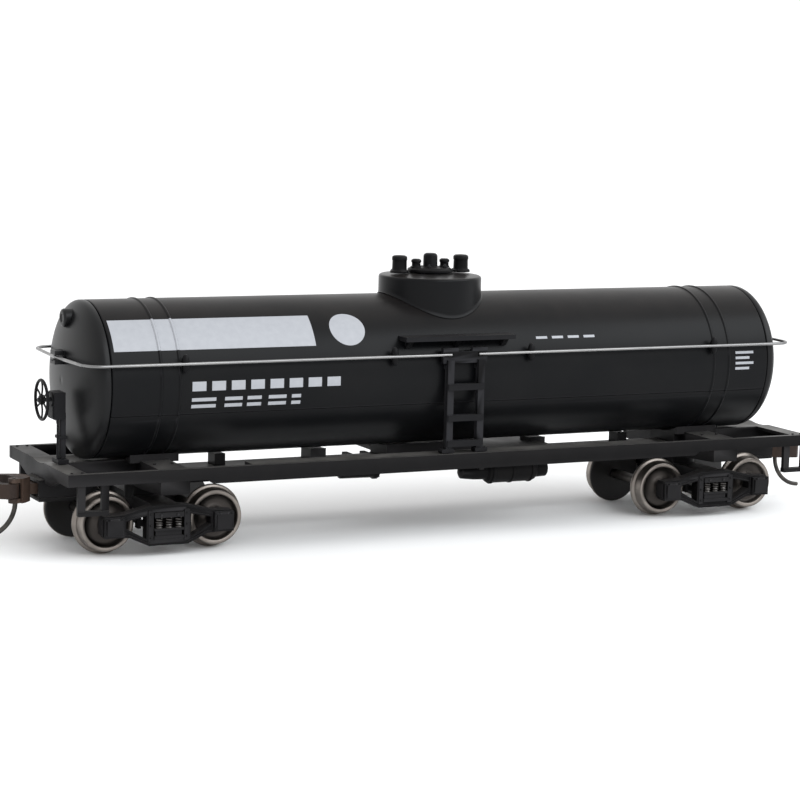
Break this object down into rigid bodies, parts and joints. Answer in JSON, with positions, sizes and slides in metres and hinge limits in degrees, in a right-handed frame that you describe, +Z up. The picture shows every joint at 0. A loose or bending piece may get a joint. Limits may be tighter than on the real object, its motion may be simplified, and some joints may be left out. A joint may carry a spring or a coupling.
{
  "type": "model tank wagon",
  "caption": "HO-scale single-dome tank wagon with bogie trucks, sprung knuckle couplers, side ladders, a wire handrail round the tank and a hand-brake wheel.",
  "frame": {"origin": "middle of the wagon, on the plane that the wheel flanges stand on", "axes": "+X along the wagon away from the hand-brake end, +Y across it away from the near side, +Z up"},
  "size_m": [0.1662, 0.0324, 0.0494],
  "materials": {
    "black_plastic": "satin black moulded plastic",
    "underframe_plastic": "semi-matte black moulded plastic",
    "nickel_wheel": "turned nickel-plated wheel",
    "steel_wire": "drawn steel wire and turned steel",
    "brown_coupler": "dull brown finish on die-cast metal",
    "white_print": "thin white printed marking on the tank",
    "steel_weight": "plain steel bar"
  },
  "bodies": {
    "wagon": {"tank_top_shell": "black_plastic", "tank_bottom_shell": "black_plastic", "tank_end_brake": "black_plastic", "tank_end_plain": "black_plastic", "dome": "black_plastic", "manway_cover": "black_plastic", "safety_valve_brake_side": "black_plastic", "safety_valve_plain_side": "black_plastic", "dome_step_near": "black_plastic", "dome_step_far": "black_plastic", "ladder_near": "black_plastic", "ladder_far": "black_plastic", "handrail_brake_end": "steel_wire", "handrail_plain_end": "steel_wire", "handrail_post_1": "black_plastic", "handrail_post_2": "black_plastic", "handrail_post_3": "black_plastic", "handrail_post_4": "black_plastic", "handrail_post_5": "black_plastic", "handrail_post_6": "black_plastic", "handrail_post_7": "black_plastic", "handrail_post_8": "black_plastic", "underframe": "underframe_plastic", "steel_weight": "steel_weight", "air_reservoir": "underframe_plastic", "brake_cylinder": "underframe_plastic", "brake_stand": "underframe_plastic", "brake_end_draft_box": "underframe_plastic", "brake_end_box_lid": "underframe_plastic", "brake_end_truck_screw": "steel_wire", "plain_end_draft_box": "underframe_plastic", "plain_end_box_lid": "underframe_plastic", "plain_end_truck_screw": "steel_wire"},
    "brake_wheel_body": {"brake_wheel": "underframe_plastic"},
    "brake_end_truck": {"brake_end_truck_frame": "underframe_plastic"},
    "brake_end_outer_wheelset": {"brake_end_outer_axle": "steel_wire", "brake_end_outer_wheel_near": "nickel_wheel", "brake_end_outer_wheel_far": "nickel_wheel"},
    "brake_end_inner_wheelset": {"brake_end_inner_axle": "steel_wire", "brake_end_inner_wheel_near": "nickel_wheel", "brake_end_inner_wheel_far": "nickel_wheel"},
    "brake_end_coupler_body": {"brake_end_coupler": "brown_coupler", "brake_end_knuckle_pin": "steel_wire", "brake_end_trip_pin": "steel_wire"},
    "brake_end_knuckle_body": {"brake_end_knuckle": "brown_coupler"},
    "plain_end_truck": {"plain_end_truck_frame": "underframe_plastic"},
    "plain_end_outer_wheelset": {"plain_end_outer_axle": "steel_wire", "plain_end_outer_wheel_near": "nickel_wheel", "plain_end_outer_wheel_far": "nickel_wheel"},
    "plain_end_inner_wheelset": {"plain_end_inner_axle": "steel_wire", "plain_end_inner_wheel_near": "nickel_wheel", "plain_end_inner_wheel_far": "nickel_wheel"},
    "plain_end_coupler_body": {"plain_end_coupler": "brown_coupler", "plain_end_knuckle_pin": "steel_wire", "plain_end_trip_pin": "steel_wire"},
    "plain_end_knuckle_body": {"plain_end_knuckle": "brown_coupler"}
  },
  "joints": [
    {"name": "brake_wheel_turn", "type": "hinge", "parent": "wagon", "child": "brake_wheel_body", "pos_m": [-0.0744, -0.0046, 0.0262], "axis": [1, 0, 0], "continuous": true},
    {"name": "brake_end_truck_swivel", "type": "hinge", "parent": "wagon", "child": "brake_end_truck", "pos_m": [-0.0548, 0, 0.00545], "axis": [0, 0, 1], "range_deg": [-12, 12]},
    {"name": "brake_end_outer_wheelset_roll", "type": "hinge", "parent": "brake_end_truck", "child": "brake_end_outer_wheelset", "pos_m": [-0.0646, 0, 0.00545], "axis": [0, 1, 0], "continuous": true},
    {"name": "brake_end_inner_wheelset_roll", "type": "hinge", "parent": "brake_end_truck", "child": "brake_end_inner_wheelset", "pos_m": [-0.045, 0, 0.00545], "axis": [0, 1, 0], "continuous": true},
    {"name": "brake_end_coupler_swing", "type": "hinge", "parent": "wagon", "child": "brake_end_coupler_body", "pos_m": [-0.069, 0, 0.01058], "axis": [0, 0, 1], "range_deg": [-10, 10], "stiffness_Nm_per_rad": 0.0005},
    {"name": "brake_end_knuckle_open", "type": "hinge", "parent": "brake_end_coupler_body", "child": "brake_end_knuckle_body", "pos_m": [-0.0783, -0.00195, 0.01058], "axis": [0, 0, 1], "range_deg": [0, 30], "stiffness_Nm_per_rad": 0.0002, "springref_deg": -17.19},
    {"name": "plain_end_truck_swivel", "type": "hinge", "parent": "wagon", "child": "plain_end_truck", "pos_m": [0.0548, 0, 0.00545], "axis": [0, 0, 1], "range_deg": [-12, 12]},
    {"name": "plain_end_outer_wheelset_roll", "type": "hinge", "parent": "plain_end_truck", "child": "plain_end_outer_wheelset", "pos_m": [0.0646, 0, 0.00545], "axis": [0, 1, 0], "continuous": true},
    {"name": "plain_end_inner_wheelset_roll", "type": "hinge", "parent": "plain_end_truck", "child": "plain_end_inner_wheelset", "pos_m": [0.045, 0, 0.00545], "axis": [0, 1, 0], "continuous": true},
    {"name": "plain_end_coupler_swing", "type": "hinge", "parent": "wagon", "child": "plain_end_coupler_body", "pos_m": [0.069, 0, 0.01058], "axis": [0, 0, 1], "range_deg": [-10, 10], "stiffness_Nm_per_rad": 0.0005},
    {"name": "plain_end_knuckle_open", "type": "hinge", "parent": "plain_end_coupler_body", "child": "plain_end_knuckle_body", "pos_m": [0.0783, 0.00195, 0.01058], "axis": [0, 0, 1], "range_deg": [0, 30], "stiffness_Nm_per_rad": 0.0002, "springref_deg": -17.19}
  ]
}
